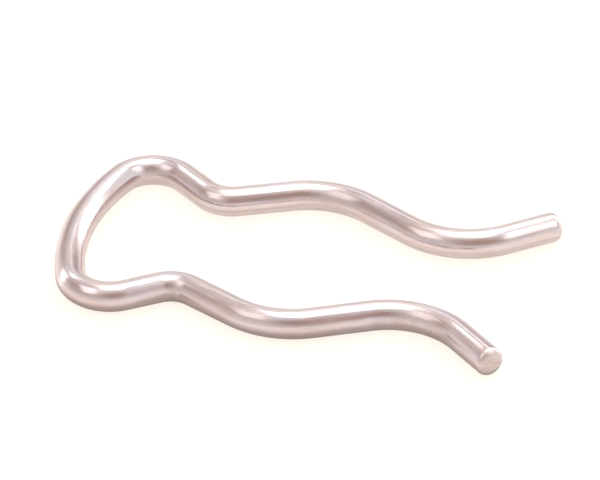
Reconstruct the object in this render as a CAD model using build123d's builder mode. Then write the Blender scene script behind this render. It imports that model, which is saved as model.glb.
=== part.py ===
import os
from math import asin, atan2, cos, sin, sqrt

from build123d import *

# Retaining clip bent flat from one length of round spring wire.
# Millimetres. X runs from the closed head to the open mouth, Y across the clip, Z is up.
# The origin is the centre of the shaft's seat, in the middle plane of the wire.

# The wire
wire_diameter = 2.0
cut_end_round = 0.5  # tumbled rim of each cut end

# The bends of one leg from the head to the mouth, the other leg is its mirror image.
# Widths are between the two legs' centre lines, where a pair of bends is widest or narrowest.
# Bends are radii of the centre line, and a run is the straight wire that follows a bend.
head_bow = 16.7  # shallow curve across the closed end
head_width = 15.3
head_bend = 2.6
head_run = 2.4

neck_width = 10.5
neck_bend = 2.1
neck_run = 3.7

seat_width = 15.2
seat_bend = 5.8
seat_run = 3.8

pinch_width = 9.0
pinch_bend = 5.6
pinch_run = 3.8

mouth_width = 16.7

# Head and seat bulge outwards, so the centres of their bends lie inside the leg.
# Neck and pinch curve inwards, so theirs lie outside it.
head_y = head_width / 2 - head_bend
neck_y = neck_width / 2 + neck_bend
seat_y = seat_width / 2 - seat_bend
pinch_y = pinch_width / 2 + pinch_bend
tip_y = mouth_width / 2


def step(bends, run, rise):
    """Distance along X between two bend centres that stand rise apart in Y."""
    return sqrt(bends**2 + run**2 - rise**2)


seat_x = 0
neck_x = seat_x - step(neck_bend + seat_bend, neck_run, neck_y - seat_y)
head_x = neck_x - step(head_bend + neck_bend, head_run, neck_y - head_y)
bow_x = head_x + sqrt((head_bow - head_bend) ** 2 - head_y**2)
pinch_x = seat_x + step(seat_bend + pinch_bend, seat_run, pinch_y - seat_y)
tip_x = pinch_x + step(pinch_bend, pinch_run, pinch_y - tip_y)

# Centre of each bend, and how far outwards of it the wire's centre line passes
leg = [
    (Vector(head_x, head_y), head_bend),
    (Vector(neck_x, neck_y), -neck_bend),
    (Vector(seat_x, seat_y), seat_bend),
    (Vector(pinch_x, pinch_y), -pinch_bend),
    (Vector(tip_x, tip_y), 0),
]


def straight_run(start, start_reach, end, end_reach):
    """Line that touches both bends."""
    span = end - start
    slope = atan2(span.Y, span.X) + asin((end_reach - start_reach) / span.length)
    outward = Vector(-sin(slope), cos(slope))
    return Line(start + outward * start_reach, end + outward * end_reach)


with BuildPart() as wire_clip:
    with BuildLine() as centre_line:
        runs = [straight_run(*here, *there) for here, there in zip(leg, leg[1:])]
        for before, after in zip(runs, runs[1:]):
            TangentArc(before @ 1, after @ 0, tangent=before % 1)

        # The bow touches the head bend from outside, on the line through both centres
        bow_centre = Vector(bow_x, 0)
        bow_end = bow_centre + (leg[0][0] - bow_centre).normalized() * head_bow
        TangentArc(runs[0] @ 0, bow_end, tangent=-(runs[0] % 0))

        mirror(about=Plane.XZ)
        ThreePointArc(bow_end, (bow_x - head_bow, 0), (bow_end.X, -bow_end.Y))

    path = centre_line.wire()
    with BuildSketch(Plane(path @ 0, z_dir=path % 0)):
        Circle(wire_diameter / 2)
    sweep(path=path)

    cut_ends = wire_clip.faces().filter_by(GeomType.PLANE)
    fillet(cut_ends.edges(), cut_end_round)

wire_clip.part.label = "wire_clip"
os.makedirs("parts", exist_ok=True)
export_step(wire_clip.part, "parts/wire_clip.step")
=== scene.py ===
from math import asin, cos, pi, radians, sin, sqrt, tan

import bmesh
import bpy
from mathutils import Matrix, Quaternion, Vector


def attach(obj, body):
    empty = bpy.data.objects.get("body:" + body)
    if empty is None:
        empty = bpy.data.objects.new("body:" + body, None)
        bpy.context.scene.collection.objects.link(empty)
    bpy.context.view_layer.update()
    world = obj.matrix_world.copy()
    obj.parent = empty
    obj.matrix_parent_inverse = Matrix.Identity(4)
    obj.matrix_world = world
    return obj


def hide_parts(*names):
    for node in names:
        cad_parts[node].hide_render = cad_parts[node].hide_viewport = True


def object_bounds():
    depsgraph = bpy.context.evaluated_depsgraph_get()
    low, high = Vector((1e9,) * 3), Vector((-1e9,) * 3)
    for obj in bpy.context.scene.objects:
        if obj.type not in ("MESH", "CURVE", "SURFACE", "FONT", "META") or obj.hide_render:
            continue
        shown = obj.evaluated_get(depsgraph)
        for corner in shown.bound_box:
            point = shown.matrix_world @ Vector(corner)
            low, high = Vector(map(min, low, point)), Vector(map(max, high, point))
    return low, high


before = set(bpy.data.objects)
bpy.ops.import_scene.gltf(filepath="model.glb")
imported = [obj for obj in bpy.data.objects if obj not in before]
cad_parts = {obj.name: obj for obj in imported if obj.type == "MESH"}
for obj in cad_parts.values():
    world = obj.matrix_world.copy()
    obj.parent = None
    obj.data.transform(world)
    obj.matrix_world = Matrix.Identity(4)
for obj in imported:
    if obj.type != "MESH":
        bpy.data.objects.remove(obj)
cad_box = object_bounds()


# The wire clip: one length of round, hard-drawn spring wire, bent flat over the pins of a wire
# former and tumbled bright. Its bends are those of the CAD part, and it is laid here as one
# smooth tube, ring by ring, from the front leg's tip round the head to the back leg's tip.
wire_radius = (cad_box[1].z - cad_box[0].z) / 2
cut_end_round = 0.0005
ring_points = 72
bend_step = radians(2.5)
run_step = 0.0005
rim_step = radians(10)

head_bow = 0.0167
head_width, head_bend, head_run = 0.0153, 0.0026, 0.0024
neck_width, neck_bend, neck_run = 0.0105, 0.0021, 0.0037
seat_width, seat_bend, seat_run = 0.0152, 0.0058, 0.0038
pinch_width, pinch_bend, pinch_run = 0.0090, 0.0056, 0.0038
mouth_width = 0.0167

head_y = head_width / 2 - head_bend
neck_y = neck_width / 2 + neck_bend
seat_y = seat_width / 2 - seat_bend
pinch_y = pinch_width / 2 + pinch_bend
tip_y = mouth_width / 2


def climb(start_reach, end_reach, run, rise):
    """Slope of a straight run between two bends whose centres stand rise apart in Y."""
    span = sqrt((end_reach - start_reach) ** 2 + run**2)
    return asin(rise / span) + asin((end_reach - start_reach) / span)


def stride(start_reach, end_reach, run, rise):
    """Distance along X between those two centres."""
    return sqrt((end_reach - start_reach) ** 2 + run**2 - rise**2)


head_slope = climb(head_bend, -neck_bend, head_run, neck_y - head_y)
neck_slope = climb(-neck_bend, seat_bend, neck_run, seat_y - neck_y)
seat_slope = climb(seat_bend, -pinch_bend, seat_run, pinch_y - seat_y)
pinch_slope = climb(-pinch_bend, 0, pinch_run, tip_y - pinch_y)
bow_slope = pi / 2 - asin(head_y / (head_bow - head_bend))

seat_to_pinch = stride(seat_bend, -pinch_bend, seat_run, pinch_y - seat_y)
pinch_to_tip = stride(-pinch_bend, 0, pinch_run, tip_y - pinch_y)

# What the wire former does from the front tip to the middle of the bow: feed, pin radius, turn.
# The cut ends' rims take up the first and the last of the straight wire.
half_clip = [
    (pinch_run - cut_end_round, pinch_bend, pinch_slope - seat_slope),
    (seat_run, seat_bend, seat_slope - neck_slope),
    (neck_run, neck_bend, neck_slope - head_slope),
    (head_run, head_bend, head_slope - bow_slope),
    (0, head_bow, 2 * (bow_slope - pi / 2)),
]
other_half = [
    (0, head_bend, head_slope - bow_slope),
    (head_run, neck_bend, neck_slope - head_slope),
    (neck_run, seat_bend, seat_slope - neck_slope),
    (seat_run, pinch_bend, pinch_slope - seat_slope),
    (pinch_run - cut_end_round, 0, 0),
]

wire = bmesh.new()
unbent = wire.verts.layers.float_vector.new("unbent_wire")
cut_end = wire.verts.layers.float.new("cut_end")
pin_mark = wire.verts.layers.float.new("pin_mark")

heading = pi - pinch_slope
forwards = Vector((cos(heading), sin(heading), 0))
place = Vector((seat_to_pinch + pinch_to_tip, -tip_y, 0))
facing = Matrix.Rotation(heading, 4, "Z") @ Matrix.Rotation(pi / 2, 4, "Y")

made = bmesh.ops.create_circle(
    wire, cap_ends=True, segments=ring_points, radius=wire_radius - cut_end_round
)
ring = made["verts"]
for corner in ring:
    corner[unbent] = (0, corner.co.y, corner.co.x)
    corner[cut_end] = 1
bmesh.ops.transform(wire, matrix=Matrix.Translation(place) @ facing, verts=ring)
rim = {edge for corner in ring for edge in corner.link_edges}


def draw_on(rim, gained):
    """Draws the tube on by one ring, which still has to be moved to its place."""
    made = bmesh.ops.extrude_edge_only(wire, edges=list(rim))["geom"]
    ring = {part for part in made if isinstance(part, bmesh.types.BMVert)}
    edges = {part for part in made if isinstance(part, bmesh.types.BMEdge)}
    for corner in ring:
        along, across, up = corner[unbent]
        corner[unbent] = (along + gained, across, up)
    return list(ring), {edge for edge in edges if ring.issuperset(edge.verts)}


def swell(ring, centre, grown):
    """Scales a ring about the wire's centre line."""
    for corner in ring:
        corner.co = centre + (corner.co - centre) * grown
        along, across, up = corner[unbent]
        corner[unbent] = (along, across * grown, up * grown)


def round_off(rim, place, forwards, angles):
    """Draws the tube on through a cut end's tumbled rim, one ring for each angle of it."""
    for before, after in zip(angles, angles[1:]):
        ahead = cut_end_round * abs(cos(before) - cos(after))
        wide_before = wire_radius - cut_end_round * (1 - sin(before))
        wide_after = wire_radius - cut_end_round * (1 - sin(after))
        ring, rim = draw_on(rim, ahead)
        bmesh.ops.translate(wire, vec=forwards * ahead, verts=ring)
        place = place + forwards * ahead
        swell(ring, place, wide_after / wide_before)
        for corner in ring:
            corner[cut_end] = cos(after)
    return rim, place


# A rim turns from 0 at the cut face to a right angle where it meets the full wire
rim_steps = round(pi / 2 / rim_step)
rim_angles = [pi / 2 * turn / rim_steps for turn in range(rim_steps + 1)]
rim, place = round_off(rim, place, forwards, rim_angles)

for feed, pin, turn in half_clip + other_half:
    if feed:
        steps = round(feed / run_step)
        ahead = Vector((cos(heading), sin(heading), 0)) * feed / steps
        for _ in range(steps):
            ring, rim = draw_on(rim, feed / steps)
            bmesh.ops.translate(wire, vec=ahead, verts=ring)
            place += ahead
    if pin:
        steps = round(abs(turn) / bend_step)
        inwards = Vector((-sin(heading), cos(heading), 0)) * (1 if turn > 0 else -1)
        centre = place + inwards * pin
        swing = Matrix.Rotation(turn / steps, 3, "Z")
        for done in range(steps):
            ring, rim = draw_on(rim, pin * abs(turn) / steps)
            bmesh.ops.rotate(wire, cent=centre, matrix=swing, verts=ring)
            place = centre + swing @ (place - centre)
            inwards = (centre - place).normalized()
            # The pin presses hardest in the middle of the bend and not at all at its ends
            pressed = sin(pi * (done + 1) / steps) if done + 1 < steps else 0
            for corner in ring:
                facing_pin = max(0, (corner.co - place).dot(inwards) / wire_radius)
                corner[pin_mark] = pressed * facing_pin**2
        heading += turn

forwards = Vector((cos(heading), sin(heading), 0))
rim, _ = round_off(rim, place, forwards, rim_angles[::-1])
bmesh.ops.contextual_create(wire, geom=list(rim))


def corner_order(part):
    """Number that no other face, or edge, has, from its first and last corner."""
    corners = [corner.index for corner in part.verts]
    return min(corners) * len(wire.verts) + max(corners)


# Extruding makes faces and edges in an order that changes from run to run, so they are sorted
wire.verts.index_update()
wire.faces.sort(key=corner_order)
wire.edges.sort(key=corner_order)

# The tube is smooth, and the two cut faces are flat
bmesh.ops.recalc_face_normals(wire, faces=wire.faces)
for face in wire.faces:
    face.smooth = len(face.verts) < ring_points
wire_mesh = bpy.data.meshes.new("spring_wire")
wire.to_mesh(wire_mesh)
wire.free()
wire_clip = bpy.data.objects.new("spring_wire_clip", wire_mesh)
bpy.context.scene.collection.objects.link(wire_clip)

steel = bpy.data.materials.new("bright_spring_steel")
steel.use_nodes = True
nodes, links = steel.node_tree.nodes, steel.node_tree.links
shader = nodes["Principled BSDF"]
shader.inputs["Metallic"].default_value = 1


def on_the_wire(name):
    """What the mesh knows of each point of the wire under this name."""
    known = nodes.new("ShaderNodeAttribute")
    known.attribute_name = name
    return known


def ranged(value, from_low, from_high, low, high, course="LINEAR"):
    """Stretches a value to a new range and holds it there."""
    stretch = nodes.new("ShaderNodeMapRange")
    stretch.interpolation_type = course
    stretch.inputs["From Min"].default_value = from_low
    stretch.inputs["From Max"].default_value = from_high
    stretch.inputs["To Min"].default_value = low
    stretch.inputs["To Max"].default_value = high
    links.new(value, stretch.inputs["Value"])
    return stretch.outputs["Result"]


def sums(operation, one, other):
    """Arithmetic on two values, of which the second may be a plain number."""
    node = nodes.new("ShaderNodeMath")
    node.operation = operation
    links.new(one, node.inputs[0])
    if isinstance(other, float):
        node.inputs[1].default_value = other
    else:
        links.new(other, node.inputs[1])
    return node.outputs[0]


def tinted(factor, one, other, blend_type="MIX"):
    """Blends two colours, each a link or a plain colour."""
    node = nodes.new("ShaderNodeMix")
    node.data_type = "RGBA"
    node.blend_type = blend_type
    links.new(factor, node.inputs["Factor"])
    for colour, socket in ((one, node.inputs["A"]), (other, node.inputs["B"])):
        if isinstance(colour, tuple):
            socket.default_value = (*colour, 1)
        else:
            links.new(colour, socket)
    return node.outputs["Result"]


# Noise is stretched from between these two to the whole of its new range
noise_low, noise_high = 0.3, 0.7


def marks(sizes, detail, low, high):
    """Noise from low to high, with marks of these sizes along, across and up the wire."""
    mapping = nodes.new("ShaderNodeMapping")
    mapping.inputs["Scale"].default_value = [1 / size for size in sizes]
    links.new(on_the_wire("unbent_wire").outputs["Vector"], mapping.inputs["Vector"])
    noise = nodes.new("ShaderNodeTexNoise")
    noise.inputs["Scale"].default_value = 1
    noise.inputs["Detail"].default_value = detail
    links.new(mapping.outputs["Vector"], noise.inputs["Vector"])
    return ranged(noise.outputs["Fac"], noise_low, noise_high, low, high)


# The die leaves lines along the wire, and the drawing soap leaves warmer and cooler patches
# with a fine mottle. The mottle and the lines each darken the steel by a share of their own.
cool_steel, warm_steel = (0.81, 0.73, 0.78), (0.82, 0.68, 0.65)
line_shade = (0.43, 0.36, 0.34)
mottle_share, broad_line_share, fine_line_share = 0.16, 0.34, 0.2
patches = marks((0.0024, 0.0008, 0.0008), 3, 0, 1)
mottle = marks((0.0007, 0.0004, 0.0004), 4, 0, 1)
broad_lines = marks((0.0045, 0.00024, 0.00024), 3, 0, 1)
fine_lines = marks((0.0016, 0.0001, 0.0001), 3, 0, 1)
drawn = tinted(patches, cool_steel, warm_steel)
drawn = tinted(sums("MULTIPLY", mottle, mottle_share), drawn, line_shade)
drawn = tinted(sums("MULTIPLY", broad_lines, broad_line_share), drawn, line_shade)
drawn = tinted(sums("MULTIPLY", fine_lines, fine_line_share), drawn, line_shade)

# Where the wire was pressed round a pin it is burnished flat and a little duller
pressed_shade = (0.64, 0.55, 0.53)
pressed_places = on_the_wire("pin_mark").outputs["Fac"]
pressed_patches = sums("MULTIPLY", pressed_places, marks((0.0006, 0.0004, 0.0004), 3, 0.3, 0.9))
drawn = tinted(pressed_patches, drawn, pressed_shade)

# The cut ends are sheared and tumbled, so they are rougher, with faint lines across the cut
sheared_shade, shear_line_shade = (0.74, 0.65, 0.61), (0.62, 0.53, 0.5)
ends = on_the_wire("cut_end").outputs["Fac"]
shear_marks = marks((0.001, 0.0011, 0.00022), 2, 0, 1)
sheared = tinted(shear_marks, sheared_shade, shear_line_shade)
links.new(tinted(ends, drawn, sheared), shader.inputs["Base Color"])

# How much rougher the patches, the pressed places and the cut ends are than the drawn wire
patches_rougher, pressed_rougher, ends_rougher = 0.08, 0.25, 0.3
dull = marks((0.003, 0.0003, 0.0003), 3, 0.1, 0.2)
dull = sums("ADD", dull, sums("MULTIPLY", patches, patches_rougher))
dull = sums("ADD", dull, sums("MULTIPLY", pressed_patches, pressed_rougher))
dull = sums("ADD", dull, sums("MULTIPLY", ends, ends_rougher))
links.new(dull, shader.inputs["Roughness"])

line_depth = 0.0000016
fine_line_depth = 0.4  # as a share of the broad lines' depth
relief = sums("ADD", broad_lines, sums("MULTIPLY", fine_lines, fine_line_depth))
grooves = nodes.new("ShaderNodeBump")
grooves.inputs["Distance"].default_value = line_depth
links.new(relief, grooves.inputs["Height"])
links.new(grooves.outputs["Normal"], shader.inputs["Normal"])
wire_mesh.materials.append(steel)

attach(wire_clip, "root")
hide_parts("wire_clip")


# The table: a plain white sheet that the clip lies on, which the light burns out to white but
# for a faint warm shadow round the clip. In the steel's reflections it carries a painted shadow
# close to the clip and a painted glow behind the front leg.
table_half = 3.0
table_mesh = bpy.data.meshes.new("table")
sheet = bmesh.new()
bmesh.ops.create_grid(sheet, x_segments=1, y_segments=1, size=table_half)
bmesh.ops.translate(sheet, vec=(0, 0, cad_box[0].z), verts=sheet.verts)
sheet.to_mesh(table_mesh)
sheet.free()
table = bpy.data.objects.new("table", table_mesh)
bpy.context.scene.collection.objects.link(table)

paper = bpy.data.materials.new("white_table")
paper.use_nodes = True
nodes, links = paper.node_tree.nodes, paper.node_tree.links
shader = nodes["Principled BSDF"]
shader.inputs["Roughness"].default_value = 0.2
rays = nodes.new("ShaderNodeLightPath").outputs

# The sheet's own colour, and for the steel's reflections a lighter copy of it with a painted
# shadow, darker where the clip stands over the sheet
sheet_shade, seen_in_steel, painted_shadow_in_steel = (0.86, 0.8, 0.79), (1, 0.94, 0.92), (0.5, 0.44, 0.42)
beside_clip, clear_of_clip = 0.75, 0.93
near_clip = nodes.new("ShaderNodeAmbientOcclusion")
near_clip.inputs["Distance"].default_value = 0.004
open_to_room = ranged(near_clip.outputs["AO"], beside_clip, clear_of_clip, 0, 1)
in_steel = tinted(open_to_room, painted_shadow_in_steel, seen_in_steel)
links.new(tinted(rays["Is Glossy Ray"], sheet_shade, in_steel), shader.inputs["Base Color"])

# The burnt-out white over it, as a share for the camera and for reflections. For reflections it
# is also a painted glow, stronger behind the front leg than at it.
white_to_camera = 0.69
painted_glow_at_front_leg, painted_glow_behind_front_leg = 0.2, 0.6
at_front_leg, behind_front_leg = -0.0055, -0.0035
white = nodes.new("ShaderNodeEmission")
white.inputs["Color"].default_value = (1, 0.945, 0.855, 1)
white.inputs["Strength"].default_value = 1.3
where = nodes.new("ShaderNodeSeparateXYZ")
links.new(nodes.new("ShaderNodeTexCoord").outputs["Object"], where.inputs["Vector"])
painted_glow_in_steel = ranged(
    where.outputs["Y"], at_front_leg, behind_front_leg, painted_glow_at_front_leg, painted_glow_behind_front_leg
)
reflected = sums("MAXIMUM", rays["Is Glossy Ray"], rays["Is Transmission Ray"])
white_share = sums(
    "ADD",
    sums("MULTIPLY", reflected, painted_glow_in_steel),
    sums("MULTIPLY", rays["Is Camera Ray"], white_to_camera),
)
blend = nodes.new("ShaderNodeMixShader")
links.new(white_share, blend.inputs["Fac"])
links.new(shader.outputs["BSDF"], blend.inputs[1])
links.new(white.outputs["Emission"], blend.inputs[2])
links.new(blend.outputs["Shader"], nodes["Material Output"].inputs["Surface"])
table_mesh.materials.append(paper)


# The studio: a white room with some darker places, and soft boxes overhead, behind, on both
# sides and at the front left. Directions are degrees round from straight behind the clip,
# towards its mouth, and degrees above the table.
lamps_away = 0.4


def direction(around, above):
    """Unit vector towards a place in the studio."""
    around, above = radians(around), radians(above)
    return Vector((sin(around) * cos(above), cos(around) * cos(above), sin(above)))


def soft_box(name, around, above, half_wide, half_high, roll, glow):
    """Rectangular lamp of a given glow, sized in degrees as the clip sees it."""
    lamp = bpy.data.lights.new(name, "AREA")
    lamp.shape = "RECTANGLE"
    lamp.size = 2 * lamps_away * tan(radians(half_wide))
    lamp.size_y = 2 * lamps_away * tan(radians(half_high))
    lamp.energy = glow * pi * lamp.size * lamp.size_y
    stand = bpy.data.objects.new(name, lamp)
    stand.location = direction(around, above) * lamps_away
    stand.rotation_mode = "QUATERNION"
    towards_clip = direction(around, above).to_track_quat("Z", "Y")
    stand.rotation_quaternion = towards_clip @ Quaternion((0, 0, 1), -radians(roll))
    bpy.context.scene.collection.objects.link(stand)


soft_box("overhead_box", -3, 76, 13, 21, -5, 1.5)
soft_box("behind_right_box", 27, 23, 9, 45, 27, 2.6)
soft_box("behind_panel", -7, 38, 9, 6, 0, 0.5)
soft_box("left_box", -74, 18, 7, 17, -35, 2.2)
soft_box("left_strip", -43, 45, 9, 2.5, 0, 3)
soft_box("front_left_box", -130, 53, 19, 12, 45, 0.75)
soft_box("right_box", 91, 49, 10, 22, 50, 0.9)

world = bpy.data.worlds.new("studio")
bpy.context.scene.world = world
world.use_nodes = True
nodes, links = world.node_tree.nodes, world.node_tree.links
room = nodes["Background"]
rays = nodes.new("ShaderNodeLightPath").outputs
towards = nodes.new("ShaderNodeTexCoord").outputs["Generated"]

room_white = (1, 1, 1)
warm_dimming = (0.8, 1, 1.08)  # a dark place takes more blue than red out of the light


def dark_place(light, around, above, half_wide, softness, depth):
    """Dims the room's light round one direction, where something dark stands."""
    to_it = nodes.new("ShaderNodeVectorMath")
    to_it.operation = "DOT_PRODUCT"
    to_it.inputs[1].default_value = direction(around, above)
    links.new(towards, to_it.inputs[0])
    away_from_it = nodes.new("ShaderNodeMath")
    away_from_it.operation = "ARCCOSINE"
    links.new(to_it.outputs["Value"], away_from_it.inputs[0])
    outside, inside = radians(half_wide + softness), radians(half_wide - softness)
    within = ranged(away_from_it.outputs[0], outside, inside, 0, 1, "SMOOTHSTEP")
    dimmed = tuple(1 - taken * depth for taken in warm_dimming)
    return tinted(within, light, dimmed, "MULTIPLY")


light = dark_place(room_white, 148, 41, 25, 18, 0.6)
light = dark_place(light, -102, 42, 22, 16, 0.5)
light = dark_place(light, -38, 17, 13, 9, 0.5)
light = dark_place(light, 6, 23, 14, 9, 0.55)
light = dark_place(light, 5, 50, 10, 8, 0.6)
light = dark_place(light, -36, 52, 6, 22, 0.6)
light = dark_place(light, -124, 12, 20, 16, 0.24)
light = dark_place(light, -166, 30, 28, 14, 0.25)
links.new(tinted(rays["Is Camera Ray"], light, room_white), room.inputs["Color"])

# The camera sees the room plain white, and the table takes a little less light from it than
# the steel mirrors
lit_by_room = 0.95
seen = sums("MAXIMUM", rays["Is Camera Ray"], rays["Is Glossy Ray"])
seen = sums("MAXIMUM", seen, rays["Is Transmission Ray"])
links.new(ranged(seen, 0, 1, lit_by_room, 1), room.inputs["Strength"])


# The camera: a long lens, a little to the mouth's side of the clip and looking down on it. Its
# place, aim and length were fitted together with the clip's bends.
frame_width_px = 600
focal_px = 12204
camera_away = 0.8
camera_around, camera_above = 15.61, 33.9
aim = Vector((-0.00063, 0.00215, 0))

lens = bpy.data.cameras.new("camera")
lens.sensor_width = 36
lens.lens = focal_px * lens.sensor_width / frame_width_px
camera = bpy.data.objects.new("camera", lens)
towards_camera = direction(180 - camera_around, camera_above)
camera.location = aim + towards_camera * camera_away
camera.rotation_mode = "QUATERNION"
camera.rotation_quaternion = towards_camera.to_track_quat("Z", "Y")
bpy.context.scene.collection.objects.link(camera)
bpy.context.scene.camera = camera

bpy.context.scene.view_settings.view_transform = "Standard"
